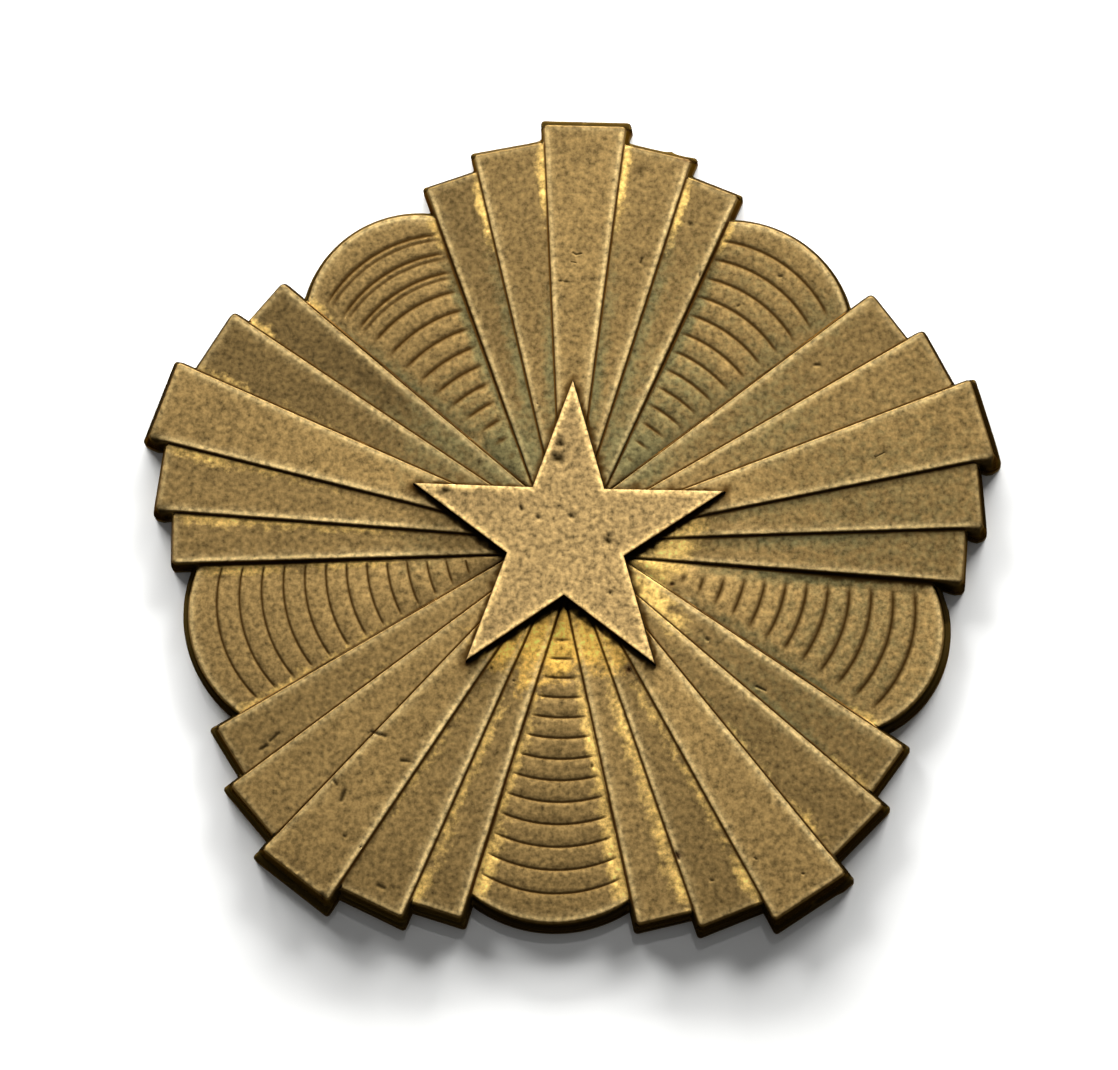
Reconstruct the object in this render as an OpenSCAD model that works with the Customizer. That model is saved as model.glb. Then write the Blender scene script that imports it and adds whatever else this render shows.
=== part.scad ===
// Star badge: a struck plate of stepped rays, a riveted star and a brooch pin.
// It lies on its back: the rim rests on z = 0, the face looks up and the top ray points along +Y.
// The origin is on the rest plane, in the middle of the outline's length and width.

/* [Rays] */
// Centre of the badge to the flat end of a main ray
main_end = 33; // [31:0.5:35]
// Half the width of a main ray at its end
main_half = 3.15; // [2.8:0.05:3.5]
// Lean of a main ray's edge from its axis, in degrees
main_taper = 4.8; // [4:0.1:5]
// Centre of the badge to the flat end of a second ray
second_end = 31.5; // [30.9:0.1:32]
// Lean of a second ray's axis from the main ray, in degrees
second_lean = 12.3; // [11:0.1:13]
// Outer corner of a second ray, sideways from its own axis
second_corner = 1.6; // [1.3:0.1:1.9]
// Direction of a second ray's outer edge, in degrees
second_edge = 15; // [14.5:0.1:15.5]
// Centre of the badge to the flat end of a third ray
third_end = 30.1; // [29.6:0.1:30.4]
// Lean of a third ray's axis from the main ray, in degrees
third_lean = 21.2; // [20:0.1:22]
// Outer corner of a third ray, sideways from its own axis
third_corner = 1.15; // [0.9:0.05:1.4]
// Direction of a third ray's outer edge, in degrees
third_edge = 21.3; // [20.8:0.1:21.6]

/* [Scalloped fields] */
// Centre of the badge to the crown of a field's round edge
field_end = 29.6; // [29:0.1:30.2]
// Radius of a field's round edge
field_round = 9.4; // [9:0.1:10.5]
// Crown of the outermost arc line
line_first = 27.4; // [27:0.1:27.8]
// Spacing of the arc lines
line_pitch = 1.64; // [1.5:0.02:1.7]
// Number of arc lines in a field
line_count = 12; // [6:1:12]
// Radius of every arc line
line_round = 10.5; // [10:0.1:12]
// Width of an arc line
line_w = 0.3; // [0.2:0.05:0.4]
// Depth of an arc line
line_deep = 0.18; // [0.1:0.02:0.24]

/* [Heights] */
// Height of the trimmed flange
flange_h = 1.1; // [1:0.05:1.3]
// Height of the scalloped fields
field_h = 1.6; // [1.5:0.05:1.7]
// Height of the third rays
third_h = 1.95; // [1.85:0.05:2]
// Height of the second rays
second_h = 2.1; // [2.05:0.05:2.15]
// Height of the main rays
main_h = 2.25; // [2.2:0.05:2.5]
// Slope of the outer wall: how far its foot stands outside the face
wall_draft = 0.45; // [0.3:0.05:0.5]
// Width of the flange outside the foot of the wall
flange_w = 0.2; // [0.1:0.05:0.3]

/* [Hollow back] */
// Depth of the hollow
hollow_deep = 1; // [0.9:0.05:1]
// Size of the hollow's outline against the face's outline
hollow_size = 0.92; // [0.85:0.01:0.93]

/* [Star] */
// Centre of the star to a tip
star_tip = 12.3; // [11.5:0.1:13]
// Centre of the star to a notch
star_notch = 4.7; // [4.5:0.1:5]
// Thickness of the star
star_t = 0.6; // [0.5:0.05:0.8]
// Diameter of the star's two stems
stem_d = 1.5; // [1.3:0.1:1.6]
// Distance of a stem from the centre
stem_x = 2.6; // [2.3:0.1:2.8]
// Diameter of a stem's riveted head
head_d = 2.5; // [2.3:0.1:2.8]

/* [Brooch pin] */
// Length of the bar
bar_l = 32; // [28:1:34]
// Width of the bar
bar_w = 4; // [3.6:0.2:4.4]
// Thickness of the bar
bar_t = 0.45; // [0.4:0.05:0.5]
// Diameter of the pin wire
wire_d = 0.6; // [0.5:0.05:0.65]
// Sideways distance of the wire from the middle of the bar
wire_y = 3.6; // [3.2:0.1:4]
// Length of the hinge block and of the catch along the bar
block_l = 2.6; // [2:0.1:3]

/* [Hidden] */
$fn = 48;
groups = 5;
turn = 360 / groups;
// small gap between pieces that lie on each other, and round a stem
gap = 0.03;
stem_gap = 0.05;
// the blocks of the face start inside the flange, so that they run into it
face_z = (hollow_deep + flange_h) / 2;
// lowest level of the fastening, clear of the table
back_z = 0.08;
// place of the star's centre, so that the outline's middle is at the origin
star_y = -(main_end - field_end) / 2;
bronze = [0.56, 0.48, 0.30];
star_bronze = [0.72, 0.62, 0.42];
steel = [0.62, 0.62, 0.60];

// outer corner of a ray, from the distance of its end, its lean and its corner's side step
function corner(end, lean, side) =
    [end * sin(lean) + side * cos(lean), end * cos(lean) - side * sin(lean)];
// where an edge line through a point meets the axis line y = 0
function edge_foot(p, edge) = [p[0] - p[1] * tan(edge), 0];
// where the end line of a leaning ray meets the main axis
function end_on_axis(p, lean) = [0, p[1] + p[0] * tan(lean)];
// a point turned clockwise by an angle
function turned(p, a) = [p[0] * cos(a) + p[1] * sin(a), p[1] * cos(a) - p[0] * sin(a)];
function flip(p) = [-p[0], p[1]];
function backwards(list) = [for (i = [len(list) - 1:-1:0]) list[i]];
// meeting point of the line through p along u with the line through q along v
function meet(p, u, q, v) =
    p + u * (((q[0] - p[0]) * v[1] - (q[1] - p[1]) * v[0]) / (u[0] * v[1] - u[1] * v[0]));
function along(edge) = [sin(edge), cos(edge)];
function across(lean) = [cos(lean), -sin(lean)];

main_corner = [main_half, main_end];
second_corner_p = corner(second_end, second_lean, second_corner);
third_corner_p = corner(third_end, third_lean, third_corner);

// inner corners of the outline, where a ray's end runs into its higher neighbour's edge
second_inner = meet(second_corner_p, across(second_lean), main_corner, along(main_taper));
third_inner = meet(third_corner_p, across(third_lean), second_corner_p, along(second_edge));

// a field's round edge, from crown to the third ray, in the field's own frame
field_mid = field_end - field_round;
field_reach = 36;
field_arc = [for (a = [-field_reach:4:field_reach])
    [field_round * sin(a), field_mid + field_round * cos(a)]];

// outline of the face, clockwise: half a group, its mirror image, then a field
half_group = [third_corner_p, third_inner, second_corner_p, second_inner, main_corner];
group_path = concat([for (p = half_group) flip(p)], backwards(half_group));
face_path = [for (k = [0:groups - 1])
    each concat([for (p = group_path) turned(p, k * turn)],
                [for (p = field_arc) turned(p, (k + 0.5) * turn)])];

// outline moved outwards by r: round at outer corners, sharp at inner ones
function unit(v) = v / norm(v);
function left(v) = [-v[1], v[0]];
function moved_corner(a, p, b, r) =
    let (n0 = left(unit(p - a)), n1 = left(unit(b - p)), bend = n0[0] * n1[1] - n0[1] * n1[0])
    bend < -0.2
        ? [for (t = [0:0.25:1]) p + r * unit(n0 * (1 - t) + n1 * t)]
        : [p + r * (n0 + n1) / (1 + n0 * n1)];
function moved_out(path, r) = let (n = len(path))
    [for (i = [0:n - 1]) each moved_corner(path[(i + n - 1) % n], path[i], path[(i + 1) % n], r)];

// one block of the face: its top is the drawn outline, and its foot is a little larger
module face_block(points, h) {
    foot = 1 + wall_draft / main_end;
    translate([0, 0, face_z])
        linear_extrude(height = h - face_z, scale = 1 / foot)
            polygon(points * foot);
}

module side_rays() {
    face_block([[0, 0], end_on_axis(second_corner_p, second_lean), second_corner_p,
                edge_foot(second_corner_p, second_edge)], second_h);
    face_block([[0, 0], end_on_axis(third_corner_p, third_lean), third_corner_p,
                edge_foot(third_corner_p, third_edge)], third_h);
}

module ray_group() {
    root = edge_foot(main_corner, main_taper);
    face_block([flip(root), flip(main_corner), main_corner, root], main_h);
    side_rays();
    mirror([1, 0, 0]) side_rays();
}

// a ring as wide and deep as an arc line, whose crown lies at distance d
module arc_line(d) {
    translate([0, d - line_round, field_h - line_deep])
        rotate_extrude()
            translate([line_round - line_w / 2, 0])
                square([line_w, 2 * line_deep]);
}

module field() {
    reach = 45;
    wide = [for (a = [-reach:5:reach]) [field_round * sin(a), field_mid + field_round * cos(a)]];
    difference() {
        face_block(concat([[0, 0]], wide), field_h);
        for (i = [0:line_count - 1]) arc_line(line_first - i * line_pitch);
    }
}

module stem_holes() {
    for (x = [-stem_x, stem_x])
        translate([x, 0, -1]) cylinder(d = stem_d + 2 * stem_gap, h = main_h + 3);
}

module badge_plate() {
    color(bronze)
        difference() {
            union() {
                linear_extrude(height = flange_h)
                    polygon(moved_out(face_path, wall_draft + flange_w));
                for (k = [0:groups - 1]) {
                    rotate([0, 0, -k * turn]) ray_group();
                    rotate([0, 0, -(k + 0.5) * turn]) field();
                }
                // seat under the star
                translate([0, 0, face_z]) cylinder(r = star_notch - 0.8, h = main_h - face_z);
            }
            translate([0, 0, -1])
                linear_extrude(height = 1 + hollow_deep)
                    polygon(face_path * hollow_size);
            stem_holes();
        }
}

module star() {
    seat_z = main_h + gap;
    head_h = hollow_deep - gap - bar_t - gap - back_z;
    color(star_bronze) {
        translate([0, 0, seat_z])
            linear_extrude(height = star_t)
                polygon([for (k = [0:groups - 1], half = [0, 0.5])
                    (half == 0 ? star_tip : star_notch)
                        * [sin((k + half) * turn), cos((k + half) * turn)]]);
        for (x = [-stem_x, stem_x])
            translate([x, 0, back_z]) {
                cylinder(d = stem_d, h = seat_z + star_t / 2 - back_z);
                cylinder(d = head_d, h = head_h);
            }
    }
}

module brooch_pin() {
    top_z = hollow_deep - gap;
    block_h = top_z - back_z;
    block_w = bar_w / 2 + wire_y + wire_d;
    // the wire lies low in its slot, clear of the table and of the slot's roof
    wire_z = back_z + stem_gap + wire_d / 2;
    slot_w = wire_d + 0.2;
    slot_h = wire_z + wire_d / 2 + stem_gap - back_z;
    point_l = 1.6;
    color(steel) {
        difference() {
            union() {
                translate([-bar_l / 2, -bar_w / 2, top_z - bar_t]) cube([bar_l, bar_w, bar_t]);
                for (x = [-bar_l / 2, bar_l / 2 - block_l])
                    translate([x, -wire_y - wire_d, back_z]) cube([block_l, block_w, block_h]);
            }
            // slot of the catch, open towards the table
            translate([bar_l / 2 - block_l - 1, -wire_y - slot_w / 2, back_z - 1])
                cube([block_l + 2, slot_w, 1 + slot_h]);
            stem_holes();
        }
        // pin wire, fixed in the hinge block, with its point past the catch
        translate([block_l / 2 - bar_l / 2, -wire_y, wire_z])
            rotate([0, 90, 0]) {
                cylinder(d = wire_d, h = bar_l - block_l / 2);
                translate([0, 0, bar_l - block_l / 2])
                    cylinder(d1 = wire_d, d2 = 0.1, h = point_l);
            }
    }
}

translate([0, star_y, 0]) badge_plate();
translate([0, star_y, 0]) star();
translate([0, star_y, 0]) brooch_pin();
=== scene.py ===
"""Dressed model of the star badge: struck, patinated bronze with a riveted star and a brooch pin.

Lengths are millimetres in the part's own frame: the badge lies on its back on z = 0, its face looks up
and its top ray points along +Y. A mesh is turned to metres when it is made. Plan points are arrays with
one row of x and y per point, named p, or q where they are turned into a block's own frame.
"""

from collections import namedtuple
from math import atan2, ceil, cos, pi, radians, sin, tan

import bmesh
import bpy
import numpy as np
from mathutils import Matrix, Vector, noise
from mathutils.geometry import delaunay_2d_cdt


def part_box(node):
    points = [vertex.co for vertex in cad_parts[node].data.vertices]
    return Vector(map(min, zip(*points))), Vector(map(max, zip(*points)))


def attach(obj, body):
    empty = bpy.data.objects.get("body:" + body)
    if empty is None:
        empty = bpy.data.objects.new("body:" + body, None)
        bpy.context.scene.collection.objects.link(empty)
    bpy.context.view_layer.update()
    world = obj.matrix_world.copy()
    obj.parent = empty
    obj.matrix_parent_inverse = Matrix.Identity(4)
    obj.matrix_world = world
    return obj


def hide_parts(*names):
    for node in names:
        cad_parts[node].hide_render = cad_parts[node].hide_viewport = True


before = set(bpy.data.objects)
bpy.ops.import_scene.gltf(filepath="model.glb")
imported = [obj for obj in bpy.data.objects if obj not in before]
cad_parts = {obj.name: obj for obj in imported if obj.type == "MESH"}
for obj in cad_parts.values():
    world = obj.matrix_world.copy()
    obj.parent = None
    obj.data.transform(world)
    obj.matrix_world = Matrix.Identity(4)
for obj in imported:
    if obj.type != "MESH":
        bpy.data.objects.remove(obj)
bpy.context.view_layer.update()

MM = 0.001
PLATE_TOP = (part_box("badge_plate")[1] / MM).z
STAR_TOP = (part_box("star")[1] / MM).z
PIN_TOP = (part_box("brooch_pin")[1] / MM).z

# Plan of the die. The badge's centre is the star's centre.
CENTRE = np.array([0.0, -1.7])
GROUP_TURN = 72.0

# One row per kind of ray: distance of its end line, lean of its axis from the group's middle in degrees,
# side step from its axis to its outer corner, direction of its outer edge in degrees, height of its top,
# and how far the trimmed flange reaches outside its end
Ray = namedtuple("Ray", "end lean corner edge level flange")
MAIN = Ray(33.0, 0.0, 3.17, 4.95, PLATE_TOP, 0.7)
SECOND = Ray(31.6, 12.0, 1.75, 14.85, PLATE_TOP - 0.17, 0.48)
THIRD = Ray(30.2, 20.3, 1.57, 21.3, PLATE_TOP - 0.34, 0.38)

# How the die was cut a little differently in each group, clockwise from the top: turn of the group in
# degrees, extra length of its main ray, and extra lean of its side rays, left and right, in degrees. Then
# the trimming: width of the flange beside the rays, and its extra width at their ends. Last, how much
# painted shade darkens the outer walls that look down
Cut = namedtuple(
    "Cut", "turn main_end second_left second_right third_left third_right flange flange_end dirt")
GROUP_CUTS = (
    Cut(0.1, 0.05, 0.45, 0.15, 0.35, 0.3, 0.3, 0.05, 0.5),
    Cut(-0.2, 0.0, -0.55, -0.2, 0.0, -0.3, 0.3, -0.15, 0.8),
    Cut(0.5, 0.25, 0.3, -0.35, 0.65, -0.15, 0.38, 0.05, 0.8),
    Cut(0.0, -0.05, 0.1, -0.15, -0.15, -0.1, 0.4, 0.2, 0.45),
    Cut(-0.25, 0.13, 0.1, 0.05, -0.25, -0.15, 0.3, -0.18, 0.9),
)

# Wear and painted light of each group, clockwise from the top: how bright the left and right edges of its
# rays are, rubbed and with painted highlight set brighter on the lower groups that the lamps light less,
# and how far painted shadow spreads at the feet of its deeper walls that look down
WearAndLight = namedtuple("WearAndLight", "left right foot_dirt")
EDGE_WEAR_AND_LIGHT = (
    WearAndLight(0.5, 0.65, 1.2),
    WearAndLight(0.65, 0.6, 0.8),
    WearAndLight(1.1, 0.65, 1.2),
    WearAndLight(1.05, 0.6, 0.2),
    WearAndLight(0.9, 0.8, 0.2),
)

# The scalloped field clockwise after each group: turn in degrees, distance of its crown, radius of its
# round edge, how far its arc lines stop short of the rays on its left and right, width of its arc lines,
# how many of them were cut twice, and how far the flange reaches outside the field
Field = namedtuple("Field", "turn end round stop_left stop_right line_w doubled flange")
FIELD_CUTS = (
    Field(-0.25, 29.55, 9.5, 0.9, 1.3, 0.25, 0, 0.32),
    Field(-0.7, 29.75, 8.2, 1.5, 1.4, 0.36, 0, 0.6),
    Field(0.3, 29.6, 9.8, 0.7, 0.6, 0.2, 0, 0.6),
    Field(0.1, 29.65, 9.8, 0.4, 0.3, 0.2, 0, 0.5),
    Field(0.0, 29.7, 8.6, 1.5, 0.9, 0.34, 3, 0.36),
)

# Patina of the rays of each group, clockwise from the top, and of the field after it: 0 dark, 1 light, and
# past either end more even
Tone = namedtuple("Tone", "main second_left second_right third_left third_right field")
TONES = (
    Tone(0.45, 0.27, 0.32, 0.12, 0.26, 0.3),
    Tone(0.5, 0.4, 0.38, 0.26, 0.34, 1.25),
    Tone(0.75, 0.35, 0.4, 0.28, 0.6, 0.48),
    Tone(0.56, 0.43, 0.54, 0.43, 0.43, 0.63),
    Tone(0.58, 0.43, 0.08, 0.36, -0.04, 0.4),
)

# Patches in the finish of the struck face: x, y, how far the patch reaches, its strength, and the width of
# the strip beside a higher wall that it keeps to, or 0 for a round patch
Patch = namedtuple("Patch", "x y reach strength strip")
# Toning worn off to yellow metal
BARE_PATCHES = (
    Patch(-3.6, 27.0, 3.2, 0.8, 0.6),
    Patch(-7.9, 24.4, 3.0, 0.8, 0.6),
    Patch(3.9, 27.2, 3.4, 0.9, 0.6),
    Patch(8.0, 25.0, 3.0, 0.8, 0.6),
    Patch(-12.0, 23.0, 2.2, 0.9, 0.6),
    Patch(11.8, 23.4, 2.2, 0.9, 0.6),
    Patch(-20.7, 17.6, 2.2, 0.9, 0.6),
    Patch(-28.6, 3.7, 3.4, 0.8, 0.8),
    Patch(-23.0, 2.6, 5.0, 0.5, 0.6),
    Patch(-26.8, -0.8, 3.8, 0.85, 0.7),
    Patch(-21.0, -1.2, 4.0, 0.6, 0.5),
    Patch(-24.8, -5.0, 4.0, 1.0, 0.8),
    Patch(-17.0, -4.2, 5.0, 0.7, 0.6),
    Patch(-24.7, -15.1, 2.2, 0.7, 0.6),
    Patch(-21.0, -13.0, 3.0, 0.5, 0.6),
    Patch(-16.6, -10.5, 3.5, 0.4, 0.6),
    Patch(-24.8, 15.0, 2.4, 0.7, 0.6),
    Patch(-25.8, 11.4, 2.4, 0.7, 0.6),
    Patch(8.8, -28.4, 2.2, 1.0, 0.8),
    Patch(7.0, -23.0, 5.0, 0.7, 0.6),
    Patch(14.6, -27.6, 2.2, 0.9, 0.8),
    Patch(11.5, -21.0, 6.0, 0.5, 0.6),
    Patch(-9.8, -29.2, 2.0, 0.9, 0.8),
    Patch(-8.5, -23.0, 5.0, 0.5, 0.6),
    Patch(20.6, -21.4, 3.0, 0.8, 0.6),
    Patch(24.2, -14.7, 2.4, 0.8, 0.6),
    Patch(-4.7, -27.8, 3.6, 1.2, 1.1),
    Patch(-3.6, -20.0, 6.0, 0.7, 0.7),
    Patch(4.6, -26.6, 4.6, 1.2, 1.1),
    Patch(3.0, -18.0, 6.0, 0.9, 0.8),
    Patch(7.8, -2.0, 1.6, 1.4, 0),
    Patch(9.6, -0.5, 1.3, 0.8, 0),
    Patch(6.0, -4.5, 1.7, 1.8, 0),
    Patch(7.2, -6.4, 1.2, 0.8, 0),
    Patch(8.3, -3.4, 1.4, 0.6, 0),
    Patch(8.4, -8.0, 1.3, 0.5, 0),
)
# Golden metal under the star's lowest notch
GOLD_PATCHES = (
    Patch(-1.2, -9.0, 2.4, 1.8, 0),
    Patch(-0.4, -11.2, 1.6, 0.8, 0),
    Patch(-4.4, -10.0, 1.8, 1.2, 0),
    Patch(2.0, -9.6, 1.8, 1.5, 0),
    Patch(3.8, -10.9, 1.4, 0.8, 0),
    Patch(-2.4, -12.6, 1.6, 0.5, 0),
)
# Dirt and painted shadow in the star's two lower notches and on the bent corners of the trimmed edge
DIRT_AND_SHADOW_PATCHES = (
    Patch(-0.5, -6.9, 0.75, 1.4, 0),
    Patch(-1.4, -7.4, 0.6, 1.4, 0),
    Patch(0.3, -6.9, 0.6, 1.4, 0),
    Patch(-2.3, -8.0, 0.45, 1.4, 0),
    Patch(1.2, -7.6, 0.45, 1.4, 0),
    Patch(-3.4, -8.8, 0.35, 1.4, 0),
    Patch(2.2, -8.3, 0.3, 1.4, 0),
    Patch(5.0, -2.7, 0.6, 1.4, 0),
    Patch(5.8, -2.3, 0.5, 1.4, 0),
    Patch(6.6, -2.0, 0.4, 1.4, 0),
    Patch(7.4, -1.6, 0.25, 1.4, 0),
    Patch(32.1, 5.0, 0.8, 1.0, 0),
    Patch(31.2, -0.4, 0.7, 1.0, 0),
    Patch(29.6, -5.0, 0.9, 1.0, 0),
    Patch(-32.0, 5.2, 0.6, 1.0, 0),
    Patch(-31.2, -0.4, 0.6, 1.0, 0),
    Patch(4.5, 27.9, 0.3, 1.0, 0),
)
# Reddish brown stains in deep pits and on one burr
RED_PATCHES = (
    Patch(5.1, -11.8, 0.25, 0.9, 0),
    Patch(8.1, -5.0, 0.2, 0.9, 0),
    Patch(9.3, -26.0, 0.25, 0.9, 0),
    Patch(8.2, 29.3, 0.7, 0.8, 0),
)
# Toning gone greenish grey
GREEN_PATCHES = (
    Patch(25.0, 1.0, 11.0, 0.35, 0),
    Patch(15.0, 8.0, 4.5, 0.5, 0),
    Patch(8.3, 10.5, 4.0, 0.6, 0),
    Patch(-8.2, 7.5, 3.0, 0.5, 0),
    Patch(21.0, -4.6, 5.0, 0.9, 0.6),
    Patch(15.2, 13.2, 2.6, 0.5, 0),
    Patch(19.0, 16.5, 2.4, 0.5, 0),
    Patch(22.0, -9.0, 9.0, 0.45, 0),
    Patch(12.0, 18.0, 7.0, 0.25, 0),
    Patch(-9.0, 6.0, 5.0, 0.6, 0),
    Patch(6.5, 7.5, 4.5, 0.6, 0),
    Patch(-11.0, -3.0, 3.0, 0.35, 0),
    Patch(-3.5, 11.0, 6.5, 0.9, 0.8),
    Patch(3.2, 11.0, 6.5, 0.9, 0.9),
    Patch(8.6, 15.0, 7.5, 1.0, 1.0),
    Patch(-9.4, 13.5, 7.0, 1.0, 0.9),
    Patch(-14.6, 14.0, 5.0, 0.6, 0.6),
    Patch(18.5, -4.8, 9.0, 0.9, 1.1),
    Patch(18.0, -12.6, 7.0, 0.9, 0.6),
    Patch(-4.6, 5.0, 3.0, 1.1, 0),
    Patch(4.9, 5.2, 3.0, 1.1, 0),
)

# Scalloped fields: level of their sides, height of their dome, how much they rise towards the star and
# between which distances from the centre, where the rays beside a field would meet, and how much painted
# shade darkens its outer wall where it looks down
FIELD_LEVEL = PLATE_TOP - 0.72
FIELD_CROWN = 0.1
FIELD_RISE = 0.2
RISE_RANGE = (4.0, 26.0)
FIELD_POINT = 4.3
FIELD_DOWN_SHADE = 0.85
# Arc lines: crown of the outermost one, spacing, how much less it is from each line to the next, number of
# lines, radius, depth, and how far inside a line its second cut lies
LINE_FIRST = 27.4
LINE_PITCH = 1.79
LINE_PITCH_LOSS = 0.03
LINE_COUNT = 13
LINE_ROUND = 10.6
LINE_DEEP = 0.05
DOUBLE_STEP = 0.5

# Dents and scratches in the face and in the star: from one place to another, half width and depth
Dent = namedtuple("Dent", "x y x_end y_end half_w deep")
FACE_DENTS = (
    Dent(-0.44, 21, -0.2, 20.85, 0.09, 0.03),
    Dent(-0.2, 20.85, 0.2, 20.95, 0.08, 0.03),
    Dent(-0.56, 20.27, -0.17, 20.2, 0.06, 0.02),
    Dent(-1.4, 18.7, -1.3, 18.7, 0.09, 0.02),
    Dent(-1, 18.65, -0.8, 18.65, 0.09, 0.02),
    Dent(4.8, 20.4, 4.9, 20.7, 0.13, 0.05),
    Dent(8.5, 23.6, 8.5, 23.7, 0.14, 0.05),
    Dent(9.4, 19.5, 9.4, 19.6, 0.1, 0.04),
    Dent(12.4, 17.2, 12.5, 17.3, 0.1, 0.03),
    Dent(15.5, 19.7, 15.7, 19.7, 0.13, 0.04),
    Dent(18.5, 12.6, 18.8, 12.6, 0.15, 0.05),
    Dent(23.3, 5.3, 24, 5.7, 0.05, 0.02),
    Dent(8.1, -5, 8.2, -5, 0.14, 0.05),
    Dent(10.9, -9.2, 11, -9.3, 0.14, 0.05),
    Dent(14.8, -12.8, 15.5, -13.1, 0.1, 0.04),
    Dent(5.1, -11.8, 5.2, -11.9, 0.16, 0.05),
    Dent(2.6, -19.2, 2.6, -19.3, 0.13, 0.05),
    Dent(9.2, -25.8, 9.4, -26.2, 0.12, 0.05),
    Dent(11.9, -27.8, 12, -27.8, 0.12, 0.05),
    Dent(15.1, -26, 15.2, -26.1, 0.1, 0.04),
    Dent(18.7, -27.1, 18.8, -27.1, 0.1, 0.04),
    Dent(-3.6, -12.9, -3.6, -12.9, 0.1, 0.04),
    Dent(-5.3, -12, -5.3, -12, 0.12, 0.04),
    Dent(-11.8, -19.4, -11.2, -19.45, 0.15, 0.04),
    Dent(-14.2, -17.2, -13.1, -17.55, 0.15, 0.04),
    Dent(-15.95, -21.8, -16.2, -22.6, 0.18, 0.05),
    Dent(-16.8, -21.1, -16.6, -21.4, 0.15, 0.04),
    Dent(-15.85, -25.3, -15.75, -25.35, 0.15, 0.04),
    Dent(-17.25, -29.9, -17.1, -30, 0.21, 0.05),
    Dent(-13.1, -28.95, -12.6, -29.15, 0.18, 0.04),
    Dent(-14.6, -26.1, -14.5, -26.1, 0.12, 0.03),
    Dent(-22.1, -18.5, -22.6, -18.8, 0.15, 0.04),
    Dent(-21.25, -17.5, -21.85, -18.1, 0.15, 0.04),
    Dent(-2.7, 8.9, -2.7, 8.9, 0.1, 0.03),
)
STAR_DENTS = (
    Dent(-1, 4.35, -0.75, 4.35, 0.38, 0.08),
    Dent(-1.2, 4.6, -1.1, 4.6, 0.19, 0.05),
    Dent(-0.8, 5.65, -0.7, 5.5, 0.27, 0.06),
    Dent(-9.5, 1.64, -9.3, 1.6, 0.27, 0.04),
    Dent(3.1, -1.94, 3.25, -2.1, 0.27, 0.07),
    Dent(3.2, -1.6, 3.2, -1.6, 0.16, 0.05),
    Dent(-2.25, -0.3, -2.2, -0.35, 0.19, 0.06),
    Dent(0.3, -0.15, 0.3, -0.1, 0.19, 0.06),
    Dent(-3.6, 0.5, -3.5, 0.3, 0.16, 0.04),
    Dent(3.5, -6, 3.5, -6.1, 0.14, 0.05),
)
# Where an edge was nibbled by many small knocks
Knocks = namedtuple("Knocks", "x y reach deep")
NIBBLED = (
    Knocks(-19.9, -25.6, 2.2, 0.07),
    Knocks(-18.4, -28.9, 2.4, 0.08),
    Knocks(-14.6, -19.5, 2.0, 0.05),
)
# Burrs and bent corners of the trimmed edge: place, how far it is pushed in x and y, and reach
Burr = namedtuple("Burr", "x y push_x push_y reach")
BURRS = (
    Burr(3.6, 31.4, 0.2, 0.0, 0.35),
    Burr(6.8, 29.9, 0.06, 0.2, 0.3),
    Burr(8.5, 28.9, 0.2, 0.1, 0.4),
    Burr(32.8, 8.8, 0.2, 0.0, 0.4),
    Burr(22.0, -28.2, 0.15, -0.15, 0.4),
    Burr(32.1, 5.1, 0.0, -0.6, 0.9),
    Burr(31.2, -0.3, 0.0, -0.5, 0.8),
    Burr(29.6, -5.0, 0.0, -0.5, 0.9),
    Burr(-32.0, 5.2, 0.0, -0.3, 0.7),
    Burr(-31.2, -0.3, 0.0, -0.3, 0.6),
)

# Walls: they fall from a worn lip, and the outer ones end on the trimmed flange. The slope is the fall for
# each millimetre outwards
WALL_SLOPE = 2.8
LIP = 0.06
CORNER_ROUND = 0.3
FLANGE_LEVEL = 1.1
FLANGE_ROUND = 0.18
FOOT_FILLET = 0.12

# Hollow back
HOLLOW_SIZE = 0.92
HOLLOW_DEEP = 1.0
HOLLOW_WALL = 0.3
RIM_ROUND = 0.1

# Star: one tip radius and one notch radius per group, clockwise from the top. Its skirt is how far the
# foot of its steep edge stands outside the outline
STAR_TIPS = (12.4, 12.55, 12.1, 12.3, 12.5)
STAR_NOTCHES = (4.7, 4.68, 4.64, 4.73, 4.68)
STAR_SLOPE = 7.0
STAR_SKIRT = 0.06
STAR_SEAT = PLATE_TOP + 0.03
# The star's two stems, their riveted heads, and the lowest level of everything on the back
STEM_X = 2.6
STEM_D = 1.5
STEM_GAP = 0.05
HEAD_D = 2.5
HEAD_HIGH = 0.49
BACK_LOW = 0.08

# Brooch pin: the bar, the hinge block and the catch at its ends, the wire, and the catch's slot for it
BAR_HALF_L = 16.0
BAR_HALF_W = 2.0
BAR_T = 0.45
BAR_ROUND = 0.8
BLOCK_L = 2.6
BLOCK_SIDE = -4.2
WIRE_Y = -3.6
WIRE_Z = 0.43
WIRE_R = 0.3
SLOT_HALF = 0.4
SLOT_TOP = 0.78
SOFT_EDGE = 0.08

# Spacing of mesh points along straight and round edges and between them, how far from the centre the rows
# of points start, and half the side of the squares that loose points are laid over
STEP = 0.45
FINE_STEP = 0.3
FILL_STEP = 0.5
ROW_START = 2.5
CLEAR_CENTRE = 3.4
PLATE_REACH = 36
STAR_REACH = 14
PIN_REACH = 17
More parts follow.
